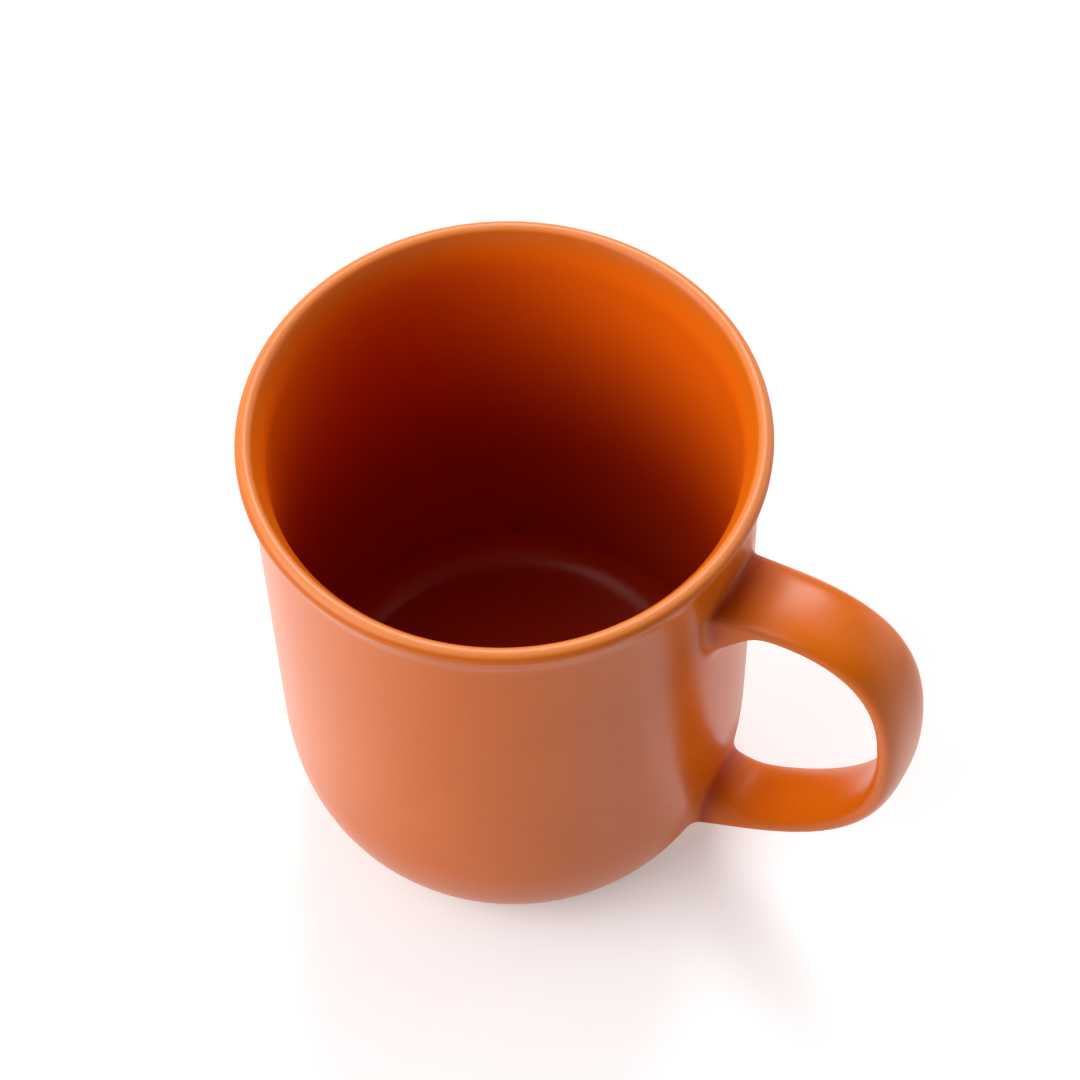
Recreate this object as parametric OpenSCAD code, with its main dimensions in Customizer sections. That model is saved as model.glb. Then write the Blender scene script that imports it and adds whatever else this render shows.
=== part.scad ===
// Glazed ceramic mug: a turned cup with a flared lip and a separate strap handle,
// joined on with clay slip and coated with glaze. Millimetres, +Z up.
// The origin is the middle of the foot ring on the table, and the handle points along +X.

/* [Cup] */
// Height of the finished mug
height = 101; // [90:0.5:120]
// Outside diameter of the straight wall
wall_d = 83.4; // [72:0.2:100]
// Thickness of the wall just above the floor
wall_t = 4.2; // [3:0.1:5]
// Thickness of the lip
lip_t = 3; // [2:0.1:4]
// How far the lip stands out past the wall
lip_overhang = 1.8; // [0.6:0.1:4]
// Radius of the flare under the lip
flare_r = 10; // [5:0.5:16]
// Height at which the rounded lower body runs into the straight wall
belly_h = 27.5; // [20:0.5:40]
// Thickness of the floor
floor_t = 7.3; // [4:0.1:8]
// Radius of the corner between the floor and the wall, inside
corner_r = 6; // [4:0.5:16]

/* [Foot ring] */
// Outside diameter of the foot ring
foot_d = 57; // [48:0.5:64]
// Width of the foot ring
foot_w = 4; // [2.5:0.1:6]
// Height of the foot ring below the rounded body
foot_h = 1.8; // [1.2:0.1:3]
// Depth of the recess inside the foot ring
foot_recess = 1.2; // [0.6:0.1:2]
// Bevel on the edges of the foot ring
foot_bevel = 0.5; // [0.2:0.1:0.8]

/* [Handle] */
// How far the middle of the strap stands out from the wall
handle_reach = 32; // [26:0.5:40]
// Distance from the top of the lip down to the middle of the strap's upper end
upper_joint_drop = 17.5; // [16:0.1:26]
// Height of the middle of the strap's lower end
lower_joint_h = 15.3; // [13:0.1:22]
// Angle at which the strap rises from its upper end, in degrees
upper_rise = 17; // [0:1:25]
// Angle at which the strap rises from its lower end, in degrees
lower_rise = 37; // [15:1:45]
// Width of the strap half way along
strap_w = 13.4; // [10:0.2:18]
// Width of the strap at its upper end
upper_end_w = 15.4; // [10:0.2:18]
// Width of the strap at its lower end
lower_end_w = 14.6; // [10:0.2:18]
// Thickness of the strap
strap_t = 4.8; // [3.6:0.1:7]
// Length of each end over which the strap's section turns upright, as the wall stands
turn_len = 12; // [8:0.5:20]
// Depth of the web under the strap's upper end, where its cove starts
upper_web_depth = 4.6; // [0:0.2:5.4]
// Length of that web along the strap
upper_web_len = 7; // [6:0.5:12]
// Depth of the web above the strap's lower end, where its cove starts
lower_web_depth = 2.5; // [0:0.1:3]
// Length of that web along the strap
lower_web_len = 9; // [7:0.5:12]
// Size of the hollow cove where the strap meets the wall
cove = 2.2; // [1.2:0.1:3]

/* [Coats] */
// Thickness of the glaze
glaze_t = 0.4; // [0.2:0.05:0.6]
// Thickness of the slip under each end of the handle
slip_t = 0.6; // [0.3:0.1:1]

/* [Hidden] */
$fn = 128;

clay_colour = "#d8bf9f";
slip_colour = "#c9ab86";
outside_colour = "#c2693a";
inside_colour = "#b4520f";

// Powers of the curve of the lower body: up its side, and round its heel
side_power = 2.4;
heel_power = 2.7;
// Power of the strap's section, where 2 is an ellipse and more is squarer
strap_power = 2.5;
// Power of the widening towards the strap's ends, where more keeps it nearer to them
widening_power = 8;

// Shape of the strap's middle line: where it stands out most, as a share of the way up
// from the lower joint to the upper one, and how far each end of its two curves runs straight
apex_share = 0.624;
upper_pull_share = 0.85;
above_apex_pull_share = 0.81;
below_apex_pull_share = 0.654;
lower_pull_share = 0.2;

// Steps in the curves of the cup, and in the strap
belly_steps = 18;
flare_steps = 8;
lip_steps = 10;
corner_steps = 12;
curve_steps = 17;
sides = 28;
cove_steps = 4;
seat_steps = 6;
search_steps = 14;

wall_r = wall_d / 2;
foot_r = foot_d / 2;
foot_in_r = foot_r - foot_w;
floor_z = foot_recess + floor_t;
base_z = foot_recess + glaze_t;
lip_r = lip_t / 2;
flare_mid_r = flare_r + lip_r;
flare_turn = acos(1 - lip_overhang / flare_mid_r);
flare_mid = [wall_r + flare_r, height - lip_r - flare_mid_r * sin(flare_turn)];
lip_mid = [wall_r + lip_overhang - lip_r, height - lip_r];
corner_mid = [wall_r - wall_t - corner_r, floor_z + corner_r];

function unit(v) = v / norm(v);
function reversed(list) = [for (i = [len(list) - 1:-1:0]) list[i]];
function part_of(list, first, last) = [for (i = [first:last]) list[i]];
function arc(mid, radius, from, to, steps) =
    [for (i = [0:steps]) let (a = from + (to - from) * i / steps) mid + radius * [cos(a), sin(a)]];

// The finished surface in half section, from the foot ring up the outside to the top of the lip
outer_line = concat(
    [for (i = [0:belly_steps]) let (a = 90 - 90 * i / belly_steps)
        [foot_r + (wall_r - foot_r) * pow(cos(a), 2 / heel_power),
         belly_h - (belly_h - foot_h) * pow(sin(a), 2 / side_power)]],
    arc(flare_mid, flare_r, 180, 180 - flare_turn, flare_steps),
    part_of(arc(lip_mid, lip_r, -flare_turn, 90, lip_steps), 1, lip_steps));

// The same from the lip down the inside to the middle of the floor
inner_line = concat(
    part_of(arc(lip_mid, lip_r, 90, 180 - flare_turn, lip_steps), 1, lip_steps),
    part_of(arc(flare_mid, flare_r + lip_t, 180 - flare_turn, 180, flare_steps), 1, flare_steps),
    arc(corner_mid, corner_r, 0, -90, corner_steps),
    [[0, floor_z]]);

skin_line = concat(outer_line, inner_line);
crest = len(outer_line) - 1;
centre = len(skin_line) - 1;

// The clay lies one coat of glaze under the skin, and the coat ends square against the foot ring
function sunk(line, depth, i) =
    let (v = unit(line[min(i + 1, len(line) - 1)] - line[i - 1])) line[i] - depth * [v[1], -v[0]];
clay_line = concat([[foot_r, foot_h + glaze_t]], [for (i = [1:centre]) sunk(skin_line, glaze_t, i)]);

// Outside radius of the skin and of the clay by height
skin_wall = [for (i = [0:crest]) [skin_line[i][1], skin_line[i][0]]];
clay_wall = [for (i = [0:crest]) [clay_line[i][1], clay_line[i][0]]];
function on_wall(wall, y, z, lift) = [sqrt(pow(lookup(z, wall) + lift, 2) - y * y), y, z];

// Middle line of the strap in the XZ plane: two curves, each from the wall out to the apex
upper_end = [wall_r, height - upper_joint_drop];
lower_end = [lookup(lower_joint_h, skin_wall), lower_joint_h];
apex = [wall_r + handle_reach, lower_end[1] + apex_share * (upper_end[1] - lower_end[1])];
upper_curve = [upper_end, upper_end + upper_pull_share * handle_reach * [cos(upper_rise), sin(upper_rise)],
    apex + [0, above_apex_pull_share * (upper_end[1] - apex[1])], apex];
lower_curve = [lower_end, lower_end + lower_pull_share * handle_reach * [cos(lower_rise), sin(lower_rise)],
    apex - [0, below_apex_pull_share * (apex[1] - lower_end[1])], apex];

function bezier(p, t) =
    pow(1 - t, 3) * p[0] + 3 * t * pow(1 - t, 2) * p[1] + 3 * t * t * (1 - t) * p[2] + pow(t, 3) * p[3];
function bezier_way(p, t) =
    unit(pow(1 - t, 2) * (p[1] - p[0]) + 2 * t * (1 - t) * (p[2] - p[1]) + t * t * (p[3] - p[2]));
// Where on a curve the distance from its start reaches a length
function reached(p, length, low, high, tries) =
    let (t = (low + high) / 2)
    tries == 0 ? t
        : norm(bezier(p, t) - p[0]) < length ? reached(p, length, t, high, tries - 1)
        : reached(p, length, low, t, tries - 1);

// Clear length of the strap between each end of its middle line and its first station, for the cove
neck = 2 * (cove + glaze_t);
// A station of the strap: its place, the way its outer face looks, and its share of the run.
// Towards the wall the section leans over until it stands upright, as the wall does.
function station(curve, t, turn, share) =
    let (
        at = bezier(curve, t),
        way = turn * bezier_way(curve, t),
        square = [-way[1], way[0]],
        lean_share = max(0, min(1, 1 - (norm(at - curve[0]) - neck) / turn_len)),
        out = unit((1 - lean_share) * square + lean_share * turn * [0, 1]))
    [at, out / (out * square), share];

// Stations from above the upper cove to above the lower one
upper_start = reached(upper_curve, neck, 0, 1, search_steps);
lower_start = reached(lower_curve, neck, 0, 1, search_steps);
stations = concat(
    [for (i = [0:curve_steps]) let (t = upper_start + (1 - upper_start) * i / curve_steps)
        station(upper_curve, t, 1, t / 2)],
    [for (i = [curve_steps - 1:-1:0]) let (t = lower_start + (1 - lower_start) * i / curve_steps)
        station(lower_curve, t, -1, 1 - t / 2)]);
last_station = len(stations) - 1;

// One ring of the strap's section at a station, at a depth under the skin
function rounded(x) = sign(x) * pow(abs(x), 2 / strap_power);
function web(depth, length, distance) = depth * pow(max(0, 1 - (distance - neck) / length), 3);
function strap_ring(station, depth) =
    let (
        at = station[0],
        end_w = station[2] < 0.5 ? upper_end_w : lower_end_w,
        half_w = (strap_w + (end_w - strap_w) * pow(2 * station[2] - 1, widening_power)) / 2 - depth,
        outer_half = strap_t / 2 - depth,
        inner_half = outer_half + web(upper_web_depth, upper_web_len, norm(at - upper_end))
            + web(lower_web_depth, lower_web_len, norm(at - lower_end)))
    [for (j = [0:sides - 1]) let (
            a = 360 * j / sides,
            out = (sin(a) > 0 ? outer_half : inner_half) * rounded(sin(a)) * station[1])
        [at[0] + out[0], half_w * rounded(cos(a)), at[1] + out[1]]];
skin_rings = [for (s = stations) strap_ring(s, 0)];
clay_rings = [for (s = stations) strap_ring(s, glaze_t)];

// A point carried along a line until it stands at a lift above the wall
function to_wall(p, way, wall, lift, tries) =
    tries == 0 ? p
        : to_wall(p + (norm([p[0], p[1]]) - lookup(p[2], wall) - lift) * way, way, wall, lift, tries - 1);
function ways(near, next) = [for (j = [0:sides - 1]) unit(near[j] - next[j])];
function seat(near, next, wall, lift) =
    let (w = ways(near, next)) [for (j = [0:sides - 1]) to_wall(near[j], w[j], wall, lift, search_steps)];

// Outline of a cove on the wall, a cove's width outside the corner where the strap would meet the wall
function footprint(corner, width, turn) =
    [for (j = [0:sides - 1]) let (
            v = turn * (corner[(j + 1) % sides] - corner[(j + sides - 1) % sides]),
            n = unit([v[2], -v[1]]))
        [corner[j][1] + width * n[0], corner[j][2] + width * n[1]]];
function cove_rings(near, next, wall, outline, width) =
    let (w = ways(near, next), corner = seat(near, next, wall, 0))
    [for (i = [0:cove_steps]) let (t = i / cove_steps)
        [for (j = [0:sides - 1])
            pow(1 - t, 2) * (corner[j] - width * w[j]) + 2 * t * (1 - t) * corner[j]
                + t * t * on_wall(wall, outline[j][0], outline[j][1], 0)]];

// Rings at one end of the strap: the clay cove, the glazed cove, the seat on the slip, and the outline
function strap_end(first, second, turn) =
    let (
        clay_cove = cove + glaze_t,
        corner = seat(clay_rings[first], clay_rings[second], clay_wall, 0),
        outline = footprint(corner, clay_cove, turn))
    [cove_rings(clay_rings[first], clay_rings[second], clay_wall, outline, clay_cove),
     cove_rings(skin_rings[first], skin_rings[second], skin_wall, outline, cove),
     seat(clay_rings[first], clay_rings[second], clay_wall, slip_t),
     outline];
upper = strap_end(0, 1, 1);
lower = strap_end(last_station, last_station - 1, -1);

// Faces between rings of points, as triangles
function band(a, b) =
    [for (j = [0:sides - 1]) let (k = (j + 1) % sides)
        each [[a * sides + j, b * sides + j, b * sides + k], [a * sides + j, b * sides + k, a * sides + k]]];
// A loft whose last ring joins its first one
module closed_loft(rings) {
    n = len(rings);
    polyhedron([for (r = rings) each r], [for (i = [0:n - 1]) each band(i, (i + 1) % n)]);
}

// Points inside a ring that lies on the wall, in columns between its two long sides
function seat_points(ring, lift) =
    [for (j = [1:sides / 2 - 1], k = [1:seat_steps - 1])
        let (p = ring[j] + (ring[sides - j] - ring[j]) * k / seat_steps)
        on_wall(clay_wall, p[1], p[2], lift)];
function seat_index(ring_start, points_start, j, k) =
    j % (sides / 2) == 0 || k == 0 ? ring_start + j
        : k == seat_steps ? ring_start + sides - j
        : points_start + (j - 1) * (seat_steps - 1) + k - 1;
function seat_faces(ring_start, points_start) =
    [for (j = [0:sides / 2 - 1], k = [0:seat_steps - 1]) let (
            a = seat_index(ring_start, points_start, j, k),
            b = seat_index(ring_start, points_start, j + 1, k),
            c = seat_index(ring_start, points_start, j + 1, k + 1),
            d = seat_index(ring_start, points_start, j, k + 1))
        each concat(b == c ? [] : [[a, b, c]], a == d ? [] : [[a, c, d]])];
// A loft that ends on the wall at both ends, at two lifts above it
module seated_loft(rings, first_lift, last_lift) {
    n = len(rings);
    ends = [seat_points(rings[0], first_lift), seat_points(rings[n - 1], last_lift)];
    polyhedron(
        concat([for (r = rings) each r], ends[0], ends[1]),
        concat(
            [for (i = [0:n - 2]) each band(i, i + 1)],
            seat_faces(0, n * sides),
            [for (f = seat_faces((n - 1) * sides, n * sides + len(ends[0]))) reversed(f)]));
}

// A shape turned about the mug's axis
module turned(line) {
    rotate([0, 0, 180]) rotate_extrude() polygon(line);
}

// The coat between the skin and the clay, from one place along the section to another
module coat(first, last) {
    turned(concat(part_of(skin_line, first, last), reversed(part_of(clay_line, first, last))));
}

// The opening in the outside coat where one end of the handle is joined on
module joint_opening(outline) {
    rotate([90, 0, 90]) linear_extrude(height = apex[0]) polygon(outline);
}

module cup_body() {
    color(clay_colour) turned(concat(
        clay_line,
        [[0, base_z], [foot_in_r, base_z], [foot_in_r, foot_bevel], [foot_in_r + foot_bevel, 0],
         [foot_r - foot_bevel, 0], [foot_r, foot_bevel]]));
}

module handle() {
    color(clay_colour) seated_loft(
        concat([upper[2], upper[0][0]], clay_rings, [lower[0][0], lower[2]]), slip_t, slip_t);
}

module upper_slip_joint() {
    color(slip_colour) seated_loft(concat(reversed(upper[0]), [upper[2]]), 0, slip_t);
}

module lower_slip_joint() {
    color(slip_colour) seated_loft(concat([lower[2]], lower[0]), slip_t, 0);
}

module inside_glaze() {
    color(inside_colour) coat(crest, centre);
}

module outside_glaze() {
    color(outside_colour) difference() {
        coat(0, crest);
        joint_opening(upper[3]);
        joint_opening(lower[3]);
    }
}

module handle_glaze() {
    color(outside_colour) closed_loft(concat(
        reversed(upper[1]), skin_rings, lower[1],
        reversed(concat(reversed(upper[0]), clay_rings, lower[0]))));
}

module base_glaze() {
    color(outside_colour) translate([0, 0, foot_recess]) cylinder(r = foot_in_r, h = glaze_t);
}

cup_body();
handle();
upper_slip_joint();
lower_slip_joint();
inside_glaze();
outside_glaze();
handle_glaze();
base_glaze();
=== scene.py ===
# %% [markdown]
# # A glazed mug with a strap handle
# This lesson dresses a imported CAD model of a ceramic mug. The real mug is clay that was turned on a
# wheel, given a strap handle, dipped in an orange satin glaze and fired. The CAD model fixes every size
# and place, so nothing here is fitted by eye: Blender only gives the clay and the glaze their smooth
# surfaces and their finish.

# %% Load the CAD model as a fixed frame
import math

import bmesh
import bpy
from mathutils import Matrix, Vector


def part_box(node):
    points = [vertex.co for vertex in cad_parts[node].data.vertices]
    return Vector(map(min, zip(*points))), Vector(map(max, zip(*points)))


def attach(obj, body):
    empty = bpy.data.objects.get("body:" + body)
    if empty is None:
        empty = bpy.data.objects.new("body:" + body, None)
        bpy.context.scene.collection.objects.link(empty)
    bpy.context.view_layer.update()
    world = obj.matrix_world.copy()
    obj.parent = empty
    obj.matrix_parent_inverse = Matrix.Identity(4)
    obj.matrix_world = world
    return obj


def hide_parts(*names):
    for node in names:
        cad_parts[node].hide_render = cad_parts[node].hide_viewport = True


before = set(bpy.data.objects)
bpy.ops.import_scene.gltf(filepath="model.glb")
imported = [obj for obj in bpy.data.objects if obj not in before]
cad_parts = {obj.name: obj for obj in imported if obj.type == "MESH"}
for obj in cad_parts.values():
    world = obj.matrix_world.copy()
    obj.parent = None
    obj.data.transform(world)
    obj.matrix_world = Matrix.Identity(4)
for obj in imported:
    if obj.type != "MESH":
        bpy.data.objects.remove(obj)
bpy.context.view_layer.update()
print("CAD nodes:", ", ".join(sorted(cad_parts)))

# %% [markdown]
# ## Sizes
# Blender works in metres here, but a potter thinks in millimetres, so every size is written in
# millimetres and multiplied by MM when it reaches a mesh. The sizes repeat the CAD model's own. They
# could be measured on the CAD meshes instead, but most of them, such as the radius of a corner, don't
# show in a box. The cell ends by comparing the two that do, so that a change to the CAD model shows up.

# %% The mug's sizes in millimetres
MM = 0.001
HEIGHT = 101
WALL_R = 41.7
WALL_T = 4.2
LIP_T = 3
LIP_OVERHANG = 1.8
FLARE_R = 10
BELLY_H = 27.5
FLOOR_Z = 8.5
CORNER_R = 6
FOOT_R = 28.5
FOOT_W = 4
FOOT_H = 1.8
FOOT_BEVEL = 0.5
BASE_Z = 1.6
GLAZE_T = 0.4
# The rounded lower body is part of a superellipse, with one power up the side and one along the heel
SIDE_POWER = 2.4
HEEL_POWER = 2.7

rim_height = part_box("inside_glaze")[1].z / MM
rim_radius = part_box("outside_glaze")[1].y / MM
print("rim height off by", round(rim_height - HEIGHT, 3), "mm")
print("rim radius off by", round(rim_radius - WALL_R - LIP_OVERHANG, 3), "mm")

# %% [markdown]
# ## Helpers for modelling
# Operators work on whatever is selected, and the CAD nodes arrive selected. So every new piece starts by
# deselecting everything. The piece is then the active object, in edit mode, and only its own points are
# touched. Each step below could do this for itself, but a helper does it the same way every time.

# %% Start and finish a piece
def start_piece(add_primitive, name, **settings):
    """Adds a primitive as the start of a new piece and opens it in edit mode."""
    bpy.ops.object.select_all(action="DESELECT")
    add_primitive(**settings)
    piece = bpy.context.object
    piece.name = name
    piece.data.name = name
    bpy.ops.object.mode_set(mode="EDIT")
    return piece


def finish_piece(piece, merge_distance, smooth_angle):
    """Merges doubled points, turns all faces outwards and shades the piece smooth."""
    bpy.ops.mesh.select_all(action="SELECT")
    bpy.ops.mesh.remove_doubles(threshold=merge_distance)
    bpy.ops.mesh.normals_make_consistent(inside=False)
    bpy.ops.object.mode_set(mode="OBJECT")
    bpy.ops.object.shade_smooth_by_angle(angle=smooth_angle)
    print(piece.name, "has", len(piece.data.polygons), "faces")


def apply_modifier(piece, kind, **settings):
    """Adds a modifier to the piece and applies it."""
    modifier = piece.modifiers.new(kind.lower(), kind)
    for key, value in settings.items():
        setattr(modifier, key, value)
    bpy.ops.object.modifier_apply(modifier=modifier.name)


print("CAD nodes that arrive selected:", sum(node.select_get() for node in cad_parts.values()))

# %% [markdown]
# ## The cup's section
# A potter's wheel makes every point of the cup go round one axis, so half a section says all there is to
# know. The outside is a rounded lower body that runs into a straight wall and flares out at the lip. The
# inside comes back down and turns into the floor through a round corner, which is easy to wash. The
# outline could be a list of typed points, but arcs and a formula stay smooth at any number of points.

# %% Curves that make up a section
def arc(mid, radius, start, end, steps):
    """Points along an arc, with angles in degrees."""
    angles = [math.radians(start + (end - start) * i / steps) for i in range(steps + 1)]
    return [(mid[0] + radius * math.cos(a), mid[1] + radius * math.sin(a)) for a in angles]


def straight(start, end, steps):
    """Points along a straight stretch, without its ends."""
    shares = [i / steps for i in range(1, steps)]
    return [(start[0] + (end[0] - start[0]) * s, start[1] + (end[1] - start[1]) * s) for s in shares]


def belly(steps):
    """The rounded lower body, from the foot ring up to the straight wall."""
    points = []
    for i in range(steps + 1):
        a = math.pi / 2 * (1 - i / steps)
        side = abs(math.cos(a)) ** (2 / HEEL_POWER)
        rise = abs(math.sin(a)) ** (2 / SIDE_POWER)
        points.append((FOOT_R + (WALL_R - FOOT_R) * side, BELLY_H - (BELLY_H - FOOT_H) * rise))
    return points


BELLY_STEPS = 28
outer_belly = belly(BELLY_STEPS)
belly_heights = [round(point[1], 1) for point in (outer_belly[0], outer_belly[-1])]
print("the lower body rises from", belly_heights[0], "to", belly_heights[1], "mm")

# %% The finished skin in half section
FLARE_STEPS = 10
LIP_STEPS = 22
CORNER_STEPS = 20
OUTER_WALL_STEPS = 12
INNER_WALL_STEPS = 14
FLOOR_STEPS = 8

LIP_R = LIP_T / 2
FLARE_TURN = math.degrees(math.acos(1 - LIP_OVERHANG / (FLARE_R + LIP_R)))
FLARE_RISE = (FLARE_R + LIP_R) * math.sin(math.radians(FLARE_TURN))
FLARE_MID = (WALL_R + FLARE_R, HEIGHT - LIP_R - FLARE_RISE)
LIP_MID = (WALL_R + LIP_OVERHANG - LIP_R, HEIGHT - LIP_R)
CORNER_MID = (WALL_R - WALL_T - CORNER_R, FLOOR_Z + CORNER_R)

outer_flare = arc(FLARE_MID, FLARE_R, 180, 180 - FLARE_TURN, FLARE_STEPS)
lip = arc(LIP_MID, LIP_R, -FLARE_TURN, 180 - FLARE_TURN, LIP_STEPS)
inner_flare = arc(FLARE_MID, FLARE_R + LIP_T, 180 - FLARE_TURN, 180, FLARE_STEPS)
corner = arc(CORNER_MID, CORNER_R, 0, -90, CORNER_STEPS)
outer_wall = straight(outer_belly[-1], outer_flare[0], OUTER_WALL_STEPS)
inner_wall = straight(inner_flare[-1], corner[0], INNER_WALL_STEPS)
floor = straight(corner[-1], (0, FLOOR_Z), FLOOR_STEPS) + [(0, FLOOR_Z)]

outer_line = outer_belly + outer_wall + outer_flare
skin_line = outer_line + lip[1:] + inner_flare[1:] + inner_wall + corner + floor
print("the section has", len(skin_line), "points")

# %% [markdown]
# ## The glaze on the cup
# Glaze melts into one unbroken glassy skin over the lip, so the outside and the inside coats of the CAD
# model are one piece here. A Screw modifier on a curve could make it. Instead the section is drawn by
# extruding a single point from place to place, and Spin turns it about the axis as the wheel does,
# because that gives a plain mesh to finish by hand. The coat ends just above the foot in a small round
# edge, where surface tension drew it up in the kiln. Solidify gives it its thickness towards the clay.

# %% Draw a line by extruding a point, and spin it
AROUND = 160
MERGE = 0.002 * MM
SMOOTH_ANGLE = math.radians(40)


def spin_line(name, line):
    """A new piece that is this line turned about the mug's axis."""
    piece = start_piece(bpy.ops.mesh.primitive_plane_add, name, size=MM)
    bpy.ops.mesh.merge(type="CENTER")
    bpy.ops.transform.translate(value=(line[0][0] * MM, 0, line[0][1] * MM))
    for before, after in zip(line, line[1:]):
        step = ((after[0] - before[0]) * MM, 0, (after[1] - before[1]) * MM)
        bpy.ops.mesh.extrude_vertices_move(TRANSFORM_OT_translate={"value": step})
    bpy.ops.mesh.select_all(action="SELECT")
    bpy.ops.mesh.spin(steps=AROUND, angle=2 * math.pi, center=(0, 0, 0), axis=(0, 0, 1))
    return piece


print("a line is spun in", AROUND, "steps")

# %% The glaze coat of the cup
GLAZE_EDGE_R = 0.4
GLAZE_EDGE_STEPS = 5
# A touch less than GLAZE_T, so that the coat's inner face stays clear of the clay
COAT_T = 0.35

edge_mid = (FOOT_R + GLAZE_EDGE_R, FOOT_H + GLAZE_EDGE_R)
glaze_edge = arc(edge_mid, GLAZE_EDGE_R, 180, 270, GLAZE_EDGE_STEPS)
cup_glaze = spin_line("cup_glaze", glaze_edge + skin_line[1:])
finish_piece(cup_glaze, MERGE, SMOOTH_ANGLE)
apply_modifier(cup_glaze, "SOLIDIFY", thickness=COAT_T * MM, offset=-1)
print("with its thickness it has", len(cup_glaze.data.polygons), "faces")

# %% [markdown]
# ## The clay body and its bare foot
# Under the glaze lies the fired clay. It shows in one place only: the foot ring, which is wiped clean
# before firing so that the mug doesn't stick to the kiln shelf. The CAD solid could stay, but its facets
# could show on the ring's round edges. So the clay is spun as well: it follows the skin one coat below
# it, turns round the foot ring and closes under the floor, so that it is a solid and not a sheet.

# %% The clay one coat under the skin
BEVEL_STEPS = 6
FOOT_IN_R = FOOT_R - FOOT_W


def sunk(line, depth):
    """The line moved to its left by a depth, point by point."""
    moved = []
    for i, point in enumerate(line):
        before, after = line[max(i - 1, 0)], line[min(i + 1, len(line) - 1)]
        dx, dz = after[0] - before[0], after[1] - before[1]
        size = math.hypot(dx, dz)
        moved.append((point[0] - depth * dz / size, point[1] + depth * dx / size))
    return moved


foot_line = (
    [(0, BASE_Z), (FOOT_IN_R, BASE_Z)]
    + arc((FOOT_IN_R + FOOT_BEVEL, FOOT_BEVEL), FOOT_BEVEL, 180, 270, BEVEL_STEPS)
    + arc((FOOT_R - FOOT_BEVEL, FOOT_BEVEL), FOOT_BEVEL, 270, 360, BEVEL_STEPS)
    + [(FOOT_R, FOOT_H + GLAZE_T)]
)
clay_line = foot_line + sunk(skin_line, GLAZE_T)[1:-1] + [(0, FLOOR_Z - GLAZE_T)]
clay_body = spin_line("clay_body", clay_line)
finish_piece(clay_body, MERGE, SMOOTH_ANGLE)

# %% [markdown]
# ## The glaze under the mug
# The recess inside the foot ring is glazed as well. A flat disc would look dry at its edge, because
# molten glaze creeps up a wall. So the disc is spun from a line that ends in a small hollow curve
# against the ring.

# %% The glaze disc in the foot recess
BASE_SKIN_Z = BASE_Z - GLAZE_T
CREEP = 0.7
CREEP_STEPS = 8

base_line = (
    [(0, BASE_Z), (FOOT_IN_R, BASE_Z)]
    + arc((FOOT_IN_R - CREEP, BASE_SKIN_Z - CREEP), CREEP, 0, 90, CREEP_STEPS)
    + straight((FOOT_IN_R - CREEP, BASE_SKIN_Z), (0, BASE_SKIN_Z), FLOOR_STEPS)
    + [(0, BASE_SKIN_Z)]
)
base_glaze_disc = spin_line("base_glaze_disc", base_line)
finish_piece(base_glaze_disc, MERGE, SMOOTH_ANGLE)

# %% [markdown]
# ## The handle's middle line
# The handle is a flat strap of clay, bent to an ear shape. A bar could be bent along a curve object, but
# its ends wouldn't then lie exactly where the CAD model has them. So the CAD model's own middle line is
# worked out again: two Bezier curves that meet where the strap stands out most. They lie in the XZ
# plane, so a point is a pair: how far out, and how high.

# %% Two curves from the wall to the apex
HANDLE_REACH = 32
UPPER_JOINT_DROP = 17.5
LOWER_JOINT_H = 15.3
UPPER_RISE = math.radians(17)
LOWER_RISE = math.radians(37)
APEX_SHARE = 0.624
UPPER_PULL_SHARE = 0.85
ABOVE_APEX_PULL_SHARE = 0.81
BELOW_APEX_PULL_SHARE = 0.654
LOWER_PULL_SHARE = 0.2


def wall_radius(z):
    """Outside radius of the cup at a height."""
    for (r0, z0), (r1, z1) in zip(outer_line, outer_line[1:]):
        if z <= z1:
            return r0 + (r1 - r0) * max(z - z0, 0) / (z1 - z0)
    return outer_line[-1][0]


def joint_pull(rise, share):
    """How far, and at what rise, a curve leaves the wall before it starts to bend."""
    return share * HANDLE_REACH * Vector((math.cos(rise), math.sin(rise)))


upper_end = Vector((WALL_R, HEIGHT - UPPER_JOINT_DROP))
lower_end = Vector((wall_radius(LOWER_JOINT_H), LOWER_JOINT_H))
apex = Vector((WALL_R + HANDLE_REACH, lower_end.y + APEX_SHARE * (upper_end.y - lower_end.y)))
upper_curve = [
    upper_end,
    upper_end + joint_pull(UPPER_RISE, UPPER_PULL_SHARE),
    apex + Vector((0, ABOVE_APEX_PULL_SHARE * (upper_end.y - apex.y))),
    apex,
]
lower_curve = [
    lower_end,
    lower_end + joint_pull(LOWER_RISE, LOWER_PULL_SHARE),
    apex - Vector((0, BELOW_APEX_PULL_SHARE * (apex.y - lower_end.y))),
    apex,
]
print("the strap stands out most at a height of", round(apex.y, 1), "mm")

# %% [markdown]
# ## The strap's section
# The strap is wider than it is thick, with soft edges. An ellipse would look like a rod and a bevelled
# box like a belt. A superellipse lies between them and takes one number. The strap widens a little
# towards both ends, and a web fills the inside of each joint, as a thumb leaves it. Close to the wall
# the section leans over until it stands upright, so that the strap meets the wall squarely.

# %% The section at one place of the strap
STRAP_W = 13.4
UPPER_END_W, LOWER_END_W = 15.4, 14.6
WIDENING_POWER = 8
STRAP_T = 4.8
STRAP_POWER = 2.5
TURN_LEN = 12
UPPER_WEB_DEPTH, UPPER_WEB_LEN = 4.6, 7
LOWER_WEB_DEPTH, LOWER_WEB_LEN = 2.5, 9
WEB_POWER = 3
COVE = 2.2
NECK = 2 * (COVE + GLAZE_T)
SIDES = 40


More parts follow.
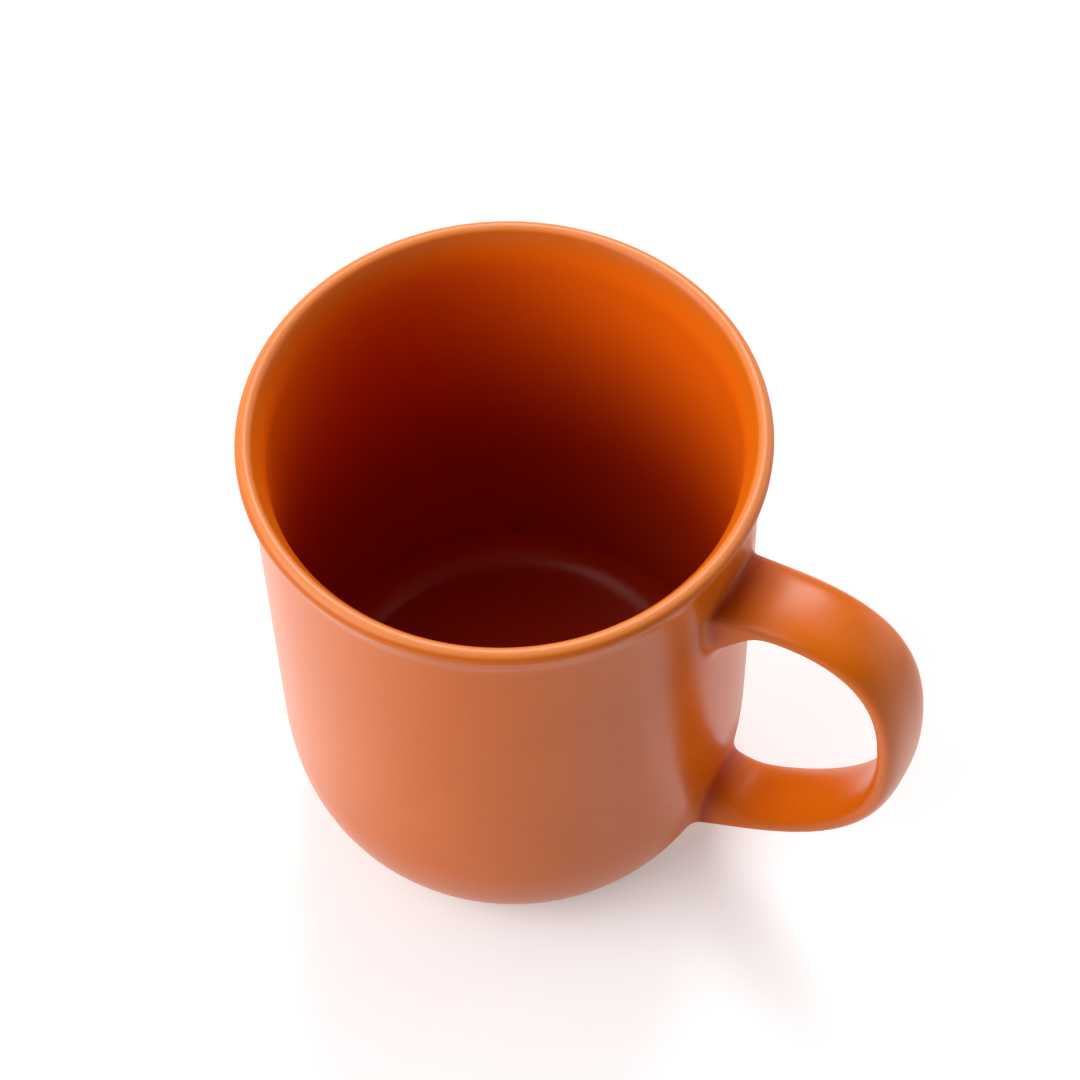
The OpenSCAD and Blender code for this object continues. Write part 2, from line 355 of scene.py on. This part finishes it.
def bezier(p, t):
    """A point on a cubic curve and the way the curve runs there."""
    s = 1 - t
    place = s**3 * p[0] + 3 * s * s * t * p[1] + 3 * s * t * t * p[2] + t**3 * p[3]
    way = s * s * (p[1] - p[0]) + 2 * s * t * (p[2] - p[1]) + t * t * (p[3] - p[2])
    return place, way.normalized()


def web(depth, length, distance):
    """Extra depth on the inside of the strap at a distance from the wall."""
    return depth * max(0, 1 - (distance - NECK) / length) ** WEB_POWER


def rounded(x):
    """A sine or cosine squared up to the strap's section."""
    return math.copysign(abs(x) ** (2 / STRAP_POWER), x)


def strap_ring(curve, t, turn, share):
    """A ring round the strap. Turn is 1 above the apex and -1 below, share is how far along it lies."""
    at, way = bezier(curve, t)
    square = turn * Vector((-way.y, way.x))
    lean = max(0, min(1, 1 - ((at - curve[0]).length - NECK) / TURN_LEN))
    out = ((1 - lean) * square + lean * turn * Vector((0, 1))).normalized()
    out /= out.dot(square)
    end_w = UPPER_END_W if turn > 0 else LOWER_END_W
    half_w = (STRAP_W + (end_w - STRAP_W) * (2 * share - 1) ** WIDENING_POWER) / 2
    inner = STRAP_T / 2 + web(UPPER_WEB_DEPTH, UPPER_WEB_LEN, (at - upper_end).length)
    inner += web(LOWER_WEB_DEPTH, LOWER_WEB_LEN, (at - lower_end).length)
    ring = []
    for j in range(SIDES):
        a = 2 * math.pi * j / SIDES
        reach = (STRAP_T / 2 if math.sin(a) > 0 else inner) * rounded(math.sin(a))
        place = at + reach * out
        ring.append(Vector((place.x, half_w * rounded(math.cos(a)), place.y)))
    return ring


print("the strap is", STRAP_W, "mm wide and", STRAP_T, "mm thick, with", SIDES, "points to a ring")

# %% Rings from each neck to the apex
CURVE_STEPS = 30
HALVINGS = 20


def neck_share(curve):
    """Where on a curve the neck's length is reached, found by halving."""
    low, high = 0, 1
    for _ in range(HALVINGS):
        middle = (low + high) / 2
        if (bezier(curve, middle)[0] - curve[0]).length < NECK:
            low = middle
        else:
            high = middle
    return middle


def strap_rings(curve, turn):
    """Rings from the neck of one joint to the apex."""
    first = neck_share(curve)
    shares = [first + (1 - first) * i / CURVE_STEPS for i in range(CURVE_STEPS + 1)]
    return [strap_ring(curve, t, turn, t / 2 if turn > 0 else 1 - t / 2) for t in shares]


upper_rings = strap_rings(upper_curve, 1)
lower_rings = strap_rings(lower_curve, -1)
print("the strap has", len(upper_rings) + len(lower_rings) - 1, "rings")

# %% [markdown]
# ## The coves at the joints
# Slip is wiped round each joint, so the strap runs into the wall through a hollow cove. A Boolean with a
# bevel could make one, but it leaves ragged faces where two curved surfaces meet. Instead each point of
# the last ring is carried on to the corner where it would meet the wall, and the cove is a quadratic
# curve that starts along the strap and ends along the wall. Past the cove a skirt follows the wall and
# then dips under its surface, so that no edge shows.

# %% Rings of the coves
COVE_STEPS = 8
WALL_TRIES = 14
# How far past the cove each ring of the skirt lies, and how far it is lifted off the wall
SKIRT = ((0.9, -0.012), (1.6, -0.05), (2, -0.3), (2, -1))


def on_wall(y, z, lift):
    """The point of the wall at a height and a place across, lifted off it."""
    return Vector((math.sqrt((wall_radius(z) + lift) ** 2 - y * y), y, z))


def to_wall(point, way):
    """The point carried along a way until it meets the wall."""
    for _ in range(WALL_TRIES):
        point = point + (math.hypot(point.x, point.y) - wall_radius(point.z)) * way
    return point


def cove_rings(near, following, turn):
    """The rings from the neck down the cove and under the wall's surface."""
    ways = [(a - b).normalized() for a, b in zip(near, following)]
    corners = [to_wall(a, w) for a, w in zip(near, ways)]
    outwards = []
    for j in range(SIDES):
        along = turn * (corners[(j + 1) % SIDES] - corners[j - 1])
        outwards.append(Vector((along.z, -along.y)).normalized())
    rings = []
    for i in range(COVE_STEPS + 1):
        t = i / COVE_STEPS
        ring = []
        for c, w, o in zip(corners, ways, outwards):
            foot = on_wall(c.y + COVE * o.x, c.z + COVE * o.y, 0)
            ring.append((1 - t) ** 2 * (c - COVE * w) + 2 * t * (1 - t) * c + t * t * foot)
        rings.append(ring)
    for spread, lift in SKIRT:
        width = COVE + spread
        places = [(c.y + width * o.x, c.z + width * o.y) for c, o in zip(corners, outwards)]
        rings.append([on_wall(y, z, lift) for y, z in places])
    return rings


upper_cove = cove_rings(upper_rings[0], upper_rings[1], 1)
lower_cove = cove_rings(lower_rings[0], lower_rings[1], -1)
handle_rings = upper_cove[::-1] + upper_rings + lower_rings[-2::-1] + lower_cove
print("with its coves the handle has", len(handle_rings), "rings")

# %% [markdown]
# ## The handle's glaze
# The rings could be joined to faces all at once in code. Here the handle grows from one circle, as it
# would by hand: the circle is set on the first ring of points, and every further ring is an Extrude of
# the one before. A number stored on each point says which side of the strap it belongs to, and Extrude
# copies that number to the new point, so the new ring always knows where to go. Subdivision Surface then
# smooths the rings.

# %% Extrude the handle ring by ring
def place_ring(piece, points):
    """Sets the selected ring on these points, by each point's own side number."""
    mesh = bmesh.from_edit_mesh(piece.data)
    side = mesh.verts.layers.int["side"]
    for v in mesh.verts:
        if v.select:
            v.co = points[v[side]] * MM
    bmesh.update_edit_mesh(piece.data)


handle_glaze_coat = start_piece(
    bpy.ops.mesh.primitive_circle_add, "handle_glaze_coat", vertices=SIDES, radius=STRAP_W * MM
)
mesh = bmesh.from_edit_mesh(handle_glaze_coat.data)
side = mesh.verts.layers.int.new("side")
for number, point in enumerate(mesh.verts):
    point[side] = number
place_ring(handle_glaze_coat, handle_rings[0])
bpy.ops.mesh.edge_face_add()
bpy.ops.mesh.select_mode(type="EDGE")
for points in handle_rings[1:]:
    bpy.ops.mesh.extrude_edges_move()
    place_ring(handle_glaze_coat, points)
bpy.ops.mesh.edge_face_add()
finish_piece(handle_glaze_coat, MERGE, SMOOTH_ANGLE)
apply_modifier(handle_glaze_coat, "SUBSURF", levels=1, render_levels=1)
print("after smoothing it has", len(handle_glaze_coat.data.polygons), "faces")

# %% [markdown]
# ## Colours and nodes
# Hex colours are written in sRGB, the way a screen shows them, while shaders work in linear light, so
# one function turns the first into the second. Nodes could be added line by line, but a function that
# adds one with its settings and inputs keeps a material short. An input that is given a socket is linked
# to it, and any other value is set on it.

# %% Helpers for materials
# A Mix node names its sockets alike for numbers and colours, so its colour sockets go by their place
MIX_FIRST, MIX_SECOND, MIX_RESULT = 6, 7, 2


def linear(hex_colour):
    """An sRGB hex value as a linear colour."""
    channels = [int(hex_colour[i : i + 2], 16) / 255 for i in (1, 3, 5)]
    return [c / 12.92 if c <= 0.04045 else ((c + 0.055) / 1.055) ** 2.4 for c in channels] + [1]


def add_node(tree, kind, inputs, **settings):
    """Adds a node, with its settings, and sets or links its inputs."""
    node = tree.nodes.new(kind)
    for key, value in settings.items():
        setattr(node, key, value)
    for name, value in inputs.items():
        if isinstance(value, bpy.types.NodeSocket):
            tree.links.new(value, node.inputs[name])
        else:
            node.inputs[name].default_value = value
    return node


def new_material(name):
    """An empty node material and its tree."""
    material = bpy.data.materials.new(name)
    material.use_nodes = True
    material.node_tree.nodes.clear()
    return material, material.node_tree


def wear(piece, material):
    """Makes this the only material of the piece."""
    piece.data.materials.clear()
    piece.data.materials.append(material)


print("middle grey #808080 is", round(linear("#808080")[0], 3), "in linear light")

# %% [markdown]
# ## The satin glaze
# The mug is covered in a satin stoneware glaze: an opaque orange with microscopic crystals that break up
# reflections, so a lamp shows as a broad soft sheen and never as a sharp spot. To the eye that is a
# strong colour, a high roughness for a glass, and an IOR below that of window glass, because the
# crystals also weaken what is mirrored. The coat isn't perfectly even. It runs thicker and darker in
# places a few centimetres wide, and a faint grain catches the light. Inside, where the glaze was poured,
# the colour is lighter near the rim and darker towards the floor: partly glaze that ran down and
# gathered, and partly painted light and shade. The lip's crest is paler: partly thin glaze that lets the
# pale clay show through, and partly a painted highlight. In the coves of the two joints the glaze is
# duller, and shade is painted there in a darker colour. That could be painted on a UV map, but all of it
# depends on place alone, so it is read from Object coordinates.

# %% Where the inside of the cup is
FLOOR_MIDDLE = (FLOOR_Z + BASE_Z) / 2


def from_axis(tree, place):
    """The distance from the mug's axis."""
    level = add_node(tree, "ShaderNodeVectorMath", {0: place, 1: (1, 1, 0)}, operation="MULTIPLY")
    length = add_node(tree, "ShaderNodeVectorMath", {0: level.outputs["Vector"]}, operation="LENGTH")
    return length.outputs["Value"]


def inside_cup(tree, radius, height):
    """One on the inside of the cup, and zero outside and under it."""
    under_lip = add_node(
        tree,
        "ShaderNodeMapRange",
        {
            "Value": radius,
            "From Min": (WALL_R - LIP_OVERHANG / 2) * MM,
            "From Max": (WALL_R - WALL_T + LIP_OVERHANG / 2) * MM,
        },
        interpolation_type="SMOOTHSTEP",
    )
    above_base = add_node(
        tree, "ShaderNodeMath", {0: height, 1: FLOOR_MIDDLE * MM}, operation="GREATER_THAN"
    )
    # A cone of 45 degrees runs through the clay between the inner corner and the outer belly
    over_cone = add_node(tree, "ShaderNodeMath", {0: height, 1: radius}, operation="SUBTRACT")
    above_belly = add_node(
        tree,
        "ShaderNodeMath",
        {0: over_cone.outputs[0], 1: (FLOOR_MIDDLE - CORNER_MID[0]) * MM},
        operation="GREATER_THAN",
    )
    above_clay = add_node(
        tree,
        "ShaderNodeMath",
        {0: above_base.outputs[0], 1: above_belly.outputs[0]},
        operation="MULTIPLY",
    )
    inside = add_node(
        tree,
        "ShaderNodeMath",
        {0: under_lip.outputs["Result"], 1: above_clay.outputs[0]},
        operation="MULTIPLY",
    )
    return inside.outputs[0]


print("the middle of the clay floor is", round(FLOOR_MIDDLE, 2), "mm up")

# %% Where the inside darkens, partly painted shade, and where the lip's crest is pale
# The inside is darkest from this height down: partly glaze pooling, partly painted shade
POOL_AND_SHADE_Z = 38
# Depth of the paler band on the lip's crest: partly thin glaze, partly a painted highlight
CREST_DEPTH = 0.6
CREST_TOP_SHARE = 0.1


def pooling_shade_and_pale_crest(tree, height):
    """How dark the inside is at a height, partly glaze pooling and partly painted shade, and how pale
    the lip's crest is, partly thin glaze and partly a painted highlight.
    """
    pooling_and_painted_shade = add_node(
        tree,
        "ShaderNodeMapRange",
        {"Value": height, "From Min": HEIGHT * MM, "From Max": POOL_AND_SHADE_Z * MM},
        interpolation_type="SMOOTHSTEP",
    )
    crest = add_node(
        tree,
        "ShaderNodeMapRange",
        {
            "Value": height,
            "From Min": (HEIGHT - CREST_DEPTH) * MM,
            "From Max": (HEIGHT - CREST_TOP_SHARE * CREST_DEPTH) * MM,
        },
        interpolation_type="SMOOTHSTEP",
    )
    return pooling_and_painted_shade.outputs["Result"], crest.outputs["Result"]


# The inside darkens down to this height, partly glaze pooling and partly painted shade
print("poured glaze deepens down to a height of", POOL_AND_SHADE_Z, "mm")

# %% Where the handle was joined on
UPPER_JOINT_REACH, LOWER_JOINT_REACH = 12, 18
JOINT_CORE_SHARE = 0.6
# How far off the wall the painted cove shade comes to full strength, and where it fades out
COVE_SHADE_START, COVE_SHADE_REACH = 1, 5


def near_joints(tree, place):
    """One at either joint, falling to zero at its reach."""
    near_ends = []
    for end, reach in ((upper_end, UPPER_JOINT_REACH), (lower_end, LOWER_JOINT_REACH)):
        joint = Vector((end.x, 0, end.y)) * MM
        distance = add_node(tree, "ShaderNodeVectorMath", {0: place, 1: joint}, operation="DISTANCE")
        near_end = add_node(
            tree,
            "ShaderNodeMapRange",
            {
                "Value": distance.outputs["Value"],
                "From Min": reach * MM,
                "From Max": JOINT_CORE_SHARE * reach * MM,
            },
            interpolation_type="SMOOTHSTEP",
        )
        near_ends.append(near_end.outputs["Result"])
    nearer = add_node(tree, "ShaderNodeMath", {0: near_ends[0], 1: near_ends[1]}, operation="MAXIMUM")
    return nearer.outputs[0]


def cove_shade_mask(tree, radius, by_joint):
    """Where shade is painted in a darker colour: one on the strap's roots and their coves, and zero on
    the wall itself.
    """
    share = by_joint
    for start, end in ((WALL_R + COVE_SHADE_REACH, WALL_R), (WALL_R, WALL_R + COVE_SHADE_START)):
        within = add_node(
            tree,
            "ShaderNodeMapRange",
            {"Value": radius, "From Min": start * MM, "From Max": end * MM},
            interpolation_type="SMOOTHSTEP",
        )
        both = {0: share, 1: within.outputs["Result"]}
        share = add_node(tree, "ShaderNodeMath", both, operation="MULTIPLY").outputs[0]
    return share


print("glaze is dull within", UPPER_JOINT_REACH, "and", LOWER_JOINT_REACH, "mm of the joints")

# %% The colour of the coat
THICK_AT, THIN_AT = 0.45, 0.9


def glaze_colour(tree, uneven, inside, pooling_and_painted_shade, crest, painted_cove_shade):
    """The tints of the coat, laid over one another where each belongs, with painted light and shade
    inside the cup, in the coves and on the lip's crest.
    """
    tint = add_node(tree, "ShaderNodeValToRGB", {"Fac": uneven})
    thick, thin = tint.color_ramp.elements
    thick.position, thick.color = THICK_AT, linear("#ca5f08")
    thin.position, thin.color = THIN_AT, linear("#d0640b")
    # Inside the cup: lighter near the rim and darker to the floor, partly glaze pooling and partly
    # painted light and shade
    poured = add_node(
        tree,
        "ShaderNodeMix",
        {"Factor": pooling_and_painted_shade, MIX_FIRST: linear("#f06a0a"), MIX_SECOND: linear("#a62c04")},
        data_type="RGBA",
    )
    layers = (
        (inside, poured.outputs[MIX_RESULT]),
        # Shade painted in a darker colour into the coves of the joints
        (painted_cove_shade, linear("#ac3c04")),
        # The crest's paler colour: partly thin glaze, partly a painted highlight
        (crest, linear("#d87d41")),
    )
    colour = tint.outputs["Color"]
    for share, layer in layers:
        inputs = {"Factor": share, MIX_FIRST: colour, MIX_SECOND: layer}
        colour = add_node(tree, "ShaderNodeMix", inputs, data_type="RGBA").outputs[MIX_RESULT]
    return colour


print("linear orange of the coat:", [round(c, 3) for c in linear("#d0640b")[:3]])

# %% Orange satin glaze
GLAZE_CLOUD = 26
GLAZE_FLECK = 4
# The crystals themselves are too fine to show, so the grain is drawn this coarse
GLAZE_GRAIN = 0.7
GRAIN_DEPTH = 0.1
GRAIN_STRENGTH = 0.05
FLECK_SHARE = 0.35
SATIN_LOW, SATIN_HIGH = 0.276, 0.29
JOINT_DULLNESS = 0.2
GLAZE_IOR = 1.32


def orange_satin_glaze():
    """A satin stoneware glaze: opaque, with a broad soft sheen."""
    material, tree = new_material("orange_satin_glaze")
    place = add_node(tree, "ShaderNodeTexCoord", {}).outputs["Object"]
    height = add_node(tree, "ShaderNodeSeparateXYZ", {"Vector": place}).outputs["Z"]
    radius = from_axis(tree, place)
    by_joint = near_joints(tree, place)
    painted_cove_shade = cove_shade_mask(tree, radius, by_joint)
    inside = inside_cup(tree, radius, height)
    pooling_and_painted_shade, crest = pooling_shade_and_pale_crest(tree, height)
    patterns = []
    for size, detail in ((GLAZE_CLOUD, 2), (GLAZE_FLECK, 4), (GLAZE_GRAIN, 1)):
        inputs = {"Vector": place, "Scale": 1 / (size * MM), "Detail": detail}
        patterns.append(add_node(tree, "ShaderNodeTexNoise", inputs).outputs["Fac"])
    cloud, fleck, grain = patterns
    uneven = add_node(
        tree, "ShaderNodeMath", {0: fleck, 1: FLECK_SHARE, 2: cloud}, operation="MULTIPLY_ADD"
    )
    satin = add_node(
        tree, "ShaderNodeMapRange", {"Value": fleck, "To Min": SATIN_LOW, "To Max": SATIN_HIGH}
    )
    roughness = add_node(
        tree,
        "ShaderNodeMath",
        {0: by_joint, 1: JOINT_DULLNESS, 2: satin.outputs["Result"]},
        operation="MULTIPLY_ADD",
    )
    bump = add_node(
        tree,
        "ShaderNodeBump",
        {"Height": grain, "Strength": GRAIN_STRENGTH, "Distance": GRAIN_DEPTH * MM},
    )
    surface = add_node(
        tree,
        "ShaderNodeBsdfPrincipled",
        {
            "Base Color": glaze_colour(tree, uneven.outputs[0], inside, pooling_and_painted_shade, crest, painted_cove_shade),
            "Roughness": roughness.outputs[0],
            "IOR": GLAZE_IOR,
            "Normal": bump.outputs["Normal"],
        },
    )
    add_node(tree, "ShaderNodeOutputMaterial", {"Surface": surface.outputs["BSDF"]})
    return material


glaze = orange_satin_glaze()
for piece in (cup_glaze, handle_glaze_coat, base_glaze_disc):
    wear(piece, glaze)
print("glazed:", cup_glaze.name, handle_glaze_coat.name, base_glaze_disc.name)

# %% [markdown]
# ## Bare clay and slip
# The foot ring is bare stoneware, fired to a dry buff. Clay holds grog, which is crushed fired clay, and
# specks of iron: pale and dark grains a fraction of a millimetre wide. Slip is the same clay thinned
# with water, and without grog it fires smoother and a little darker. Neither shines. Two separate
# materials could be built, but one function with two sets of colours shows that they are one clay.

# %% Buff stoneware and slip
GROG = 0.9
GROG_DEPTH = 0.08
GROG_STRENGTH = 0.5
GROG_DARK_AT, GROG_PALE_AT = 0.3, 0.7
IRON_SPACING = 1.6
IRON_STRENGTH = 0.7
IRON_BROWN = "#6b4a33"
CLAY_ROUGHNESS = 0.88
CLAY_IOR = 1.5


def bare_clay(name, pale, dark, speck_share):
    """Fired clay with grog between two tones, and iron specks that take up a share of their spacing."""
    material, tree = new_material(name)
    place = add_node(tree, "ShaderNodeTexCoord", {}).outputs["Object"]
    grog = add_node(tree, "ShaderNodeTexNoise", {"Vector": place, "Scale": 1 / (GROG * MM), "Detail": 4})
    iron = add_node(tree, "ShaderNodeTexVoronoi", {"Vector": place, "Scale": 1 / (IRON_SPACING * MM)})
    body = add_node(tree, "ShaderNodeValToRGB", {"Fac": grog.outputs["Fac"]})
    low, high = body.color_ramp.elements
    low.position, low.color = GROG_DARK_AT, linear(dark)
    high.position, high.color = GROG_PALE_AT, linear(pale)
    specks = add_node(
        tree,
        "ShaderNodeMapRange",
        {
            "Value": iron.outputs["Distance"],
            "From Min": speck_share,
            "From Max": 0,
            "To Max": IRON_STRENGTH,
        },
    )
    colour = add_node(
        tree,
        "ShaderNodeMix",
        {
            "Factor": specks.outputs["Result"],
            MIX_FIRST: body.outputs["Color"],
            MIX_SECOND: linear(IRON_BROWN),
        },
        data_type="RGBA",
    )
    bump = add_node(
        tree,
        "ShaderNodeBump",
        {"Height": grog.outputs["Fac"], "Strength": GROG_STRENGTH, "Distance": GROG_DEPTH * MM},
    )
    surface = add_node(
        tree,
        "ShaderNodeBsdfPrincipled",
        {
            "Base Color": colour.outputs[MIX_RESULT],
            "Roughness": CLAY_ROUGHNESS,
            "IOR": CLAY_IOR,
            "Normal": bump.outputs["Normal"],
        },
    )
    add_node(tree, "ShaderNodeOutputMaterial", {"Surface": surface.outputs["BSDF"]})
    return material


buff_stoneware = bare_clay("buff_stoneware", "#dcc3a4", "#c4a582", 0.12)
joining_slip = bare_clay("joining_slip", "#caaa85", "#b8946c", 0.05)
wear(clay_body, buff_stoneware)
wear(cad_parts["handle"], buff_stoneware)
for name in ("upper_slip_joint", "lower_slip_joint"):
    wear(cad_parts[name], joining_slip)
print("bare clay:", clay_body.name, "and the CAD handle and slip joints under the glaze")

# %% [markdown]
# ## Floor and surroundings
# The mug stands on white paper that runs off on all sides. The paper could be made white with stronger
# lamps, but they would bleach the glaze too. So it is nearly white by itself, takes the mug's shadow,
# and has a faint glow that only the camera and mirrored rays see. Further off, where the lamps don't
# reach, that glow rises, so that the paper stays white in every view. Light Path says what kind of ray
# meets the paper or the sky. A ray from the camera sees a white sky, and one mirrored by the glaze sees
# a white horizon under a darker roof. The light that falls on the mug comes from low round it and not
# from the ceiling, as in a studio with white walls and a dark roof, so that the cup stays deep inside.

# %% White paper floor
FLOOR_SIZE = 8000
NEAR_FLOOR, FAR_FLOOR = 300, 1200
FLOOR_GLOW = 0.28
FULL_WHITE = 1


def seen_directly(tree):
    """One where the ray comes from the camera or a mirrored or clear surface, and zero elsewhere."""
    path = add_node(tree, "ShaderNodeLightPath", {})
    share = path.outputs["Is Camera Ray"]
    for kind in ("Is Glossy Ray", "Is Transmission Ray"):
        either = {0: share, 1: path.outputs[kind]}
        share = add_node(tree, "ShaderNodeMath", either, operation="MAXIMUM").outputs[0]
    return share


def white_paper():
    """Matt paper that glows more, to the eye alone, the further it lies from the lamps."""
    material, tree = new_material("white_paper")
    paper = add_node(tree, "ShaderNodeBsdfDiffuse", {"Color": linear("#eeeef0")})
    place = add_node(tree, "ShaderNodeTexCoord", {}).outputs["Object"]
    distance = add_node(tree, "ShaderNodeVectorMath", {0: place}, operation="LENGTH")
    paleness = add_node(
        tree,
        "ShaderNodeMapRange",
        {
            "Value": distance.outputs["Value"],
            "From Min": NEAR_FLOOR * MM,
            "From Max": FAR_FLOOR * MM,
            "To Min": FLOOR_GLOW,
            "To Max": FULL_WHITE,
        },
        interpolation_type="SMOOTHSTEP",
    )
    glow = add_node(
        tree,
        "ShaderNodeMath",
        {0: seen_directly(tree), 1: paleness.outputs["Result"]},
        operation="MULTIPLY",
    )
    light = add_node(tree, "ShaderNodeEmission", {"Strength": glow.outputs[0]})
    both = add_node(tree, "ShaderNodeAddShader", {0: paper.outputs[0], 1: light.outputs[0]})
    add_node(tree, "ShaderNodeOutputMaterial", {"Surface": both.outputs[0]})
    return material


paper_floor = start_piece(bpy.ops.mesh.primitive_plane_add, "paper_floor", size=FLOOR_SIZE * MM)
bpy.ops.object.mode_set(mode="OBJECT")
wear(paper_floor, white_paper())
print("the paper is", FLOOR_SIZE * MM, "m wide")

# %% White surroundings under a dark roof
SKY_FILL = 0.77
DARK_ROOF = 0.25
# Heights in the sky, as the sine of the angle above the horizon
FILL_FADES_FROM, FILL_ENDS_AT = 0.1, 0.32
ROOF_STARTS_AT, ROOF_FULL_AT = 0.15, 0.5

world = bpy.data.worlds.new("white_surroundings")
bpy.context.scene.world = world
world.use_nodes = True
world.node_tree.nodes.clear()
sky_tree = world.node_tree
sky_way = add_node(sky_tree, "ShaderNodeTexCoord", {}).outputs["Generated"]
sky_height = add_node(sky_tree, "ShaderNodeSeparateXYZ", {"Vector": sky_way}).outputs["Z"]
low_light = add_node(
    sky_tree,
    "ShaderNodeMapRange",
    {
        "Value": sky_height,
        "From Min": FILL_FADES_FROM,
        "From Max": FILL_ENDS_AT,
        "To Min": SKY_FILL,
        "To Max": 0,
    },
    interpolation_type="SMOOTHSTEP",
)
mirrored_sky = add_node(
    sky_tree,
    "ShaderNodeMapRange",
    {
        "Value": sky_height,
        "From Min": ROOF_STARTS_AT,
        "From Max": ROOF_FULL_AT,
        "To Min": FULL_WHITE,
        "To Max": DARK_ROOF,
    },
    interpolation_type="SMOOTHSTEP",
)
lit_or_mirrored = add_node(
    sky_tree,
    "ShaderNodeMapRange",
    {
        "Value": seen_directly(sky_tree),
        "To Min": low_light.outputs["Result"],
        "To Max": mirrored_sky.outputs["Result"],
    },
)
camera_ray = add_node(sky_tree, "ShaderNodeLightPath", {}).outputs["Is Camera Ray"]
sky = add_node(
    sky_tree,
    "ShaderNodeMapRange",
    {"Value": camera_ray, "To Min": lit_or_mirrored.outputs["Result"], "To Max": FULL_WHITE},
)
backdrop = add_node(sky_tree, "ShaderNodeBackground", {"Strength": sky.outputs["Result"]})
add_node(sky_tree, "ShaderNodeOutputWorld", {"Surface": backdrop.outputs["Background"]})
print("the surroundings have", len(sky_tree.nodes), "nodes")

# %% [markdown]
# ## Camera
# The camera looks down on the mug from in front and a little from the handle's side. It could be placed
# by eye, but its place, its lens and its turn were worked out from the ellipse of the rim, the sides of
# the wall and the strap, because small errors there change every outline.

# %% The camera's place and turn
CAMERA_AT = Vector((147.6, -245.7, 506.6)) * MM
CAMERA_YAW = 0.5223
CAMERA_PITCH = -0.99209
CAMERA_ROLL = -0.0255
LENS = 102.97

bpy.ops.object.camera_add()
camera = bpy.context.object
camera.data.lens = LENS
camera.matrix_world = (
    Matrix.Translation(CAMERA_AT)
    @ Matrix.Rotation(CAMERA_YAW, 4, "Z")
    @ Matrix.Rotation(math.pi / 2 + CAMERA_PITCH, 4, "X")
    @ Matrix.Rotation(CAMERA_ROLL, 4, "Z")
)
bpy.context.scene.camera = camera
print("camera at", [round(c, 3) for c in CAMERA_AT])

# %% [markdown]
# ## Lamps
# The light is that of a small product studio: softboxes, which are white cloth over a lamp. One big lamp
# would leave the far side dull, and bare bulbs would leave hard spots on the satin. Each softbox is
# given by where it stands as the camera sees it, in degrees to the right and up, and it faces the mug.

# %% Softboxes round the mug
LAMP_AIM = Vector((0, 0, HEIGHT / 2)) * MM
LAMP_DISTANCE = 1300
# Name, degrees to the right, degrees up, width in millimetres, and watts
SOFTBOXES = (
    ("key_softbox", -110, 34, 1000, 14.2),
    ("back_softbox", 7, 47, 550, 9.8),
    ("top_softbox", 7, 62, 1000, 4.2),
    ("left_softbox", -86, 56, 1000, 5),
    ("side_softbox", 70, 10, 1000, 5.5),
    ("right_softbox", 65, 45, 1000, 1.6),
)


def softbox(name, right, up, width, watts):
    """A square area lamp. Right is the angle from straight behind the mug towards the camera's right."""
    turn = math.radians(90 - right) + CAMERA_YAW
    rise = math.radians(up)
    way = Vector((math.cos(turn) * math.cos(rise), math.sin(turn) * math.cos(rise), math.sin(rise)))
    bpy.ops.object.light_add(type="AREA", location=LAMP_AIM + LAMP_DISTANCE * MM * way)
    lamp = bpy.context.object
    lamp.name = name
    lamp.data.size = width * MM
    lamp.data.energy = watts
    lamp.rotation_euler = way.to_track_quat("Z", "Y").to_euler()


for lamp_settings in SOFTBOXES:
    softbox(*lamp_settings)

# %% [markdown]
# ## Hand over
# Every new piece is tied to the body that carries it, and the CAD nodes that the pieces stand in for are
# hidden. The mug has no moving parts, so all pieces ride on one body.

# %% Tie the pieces to the CAD model
for piece in (cup_glaze, clay_body, base_glaze_disc, handle_glaze_coat):
    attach(piece, "root")
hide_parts("inside_glaze", "outside_glaze")
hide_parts("cup_body")
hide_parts("base_glaze")
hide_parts("handle_glaze")
bpy.context.scene.view_settings.view_transform = "Standard"
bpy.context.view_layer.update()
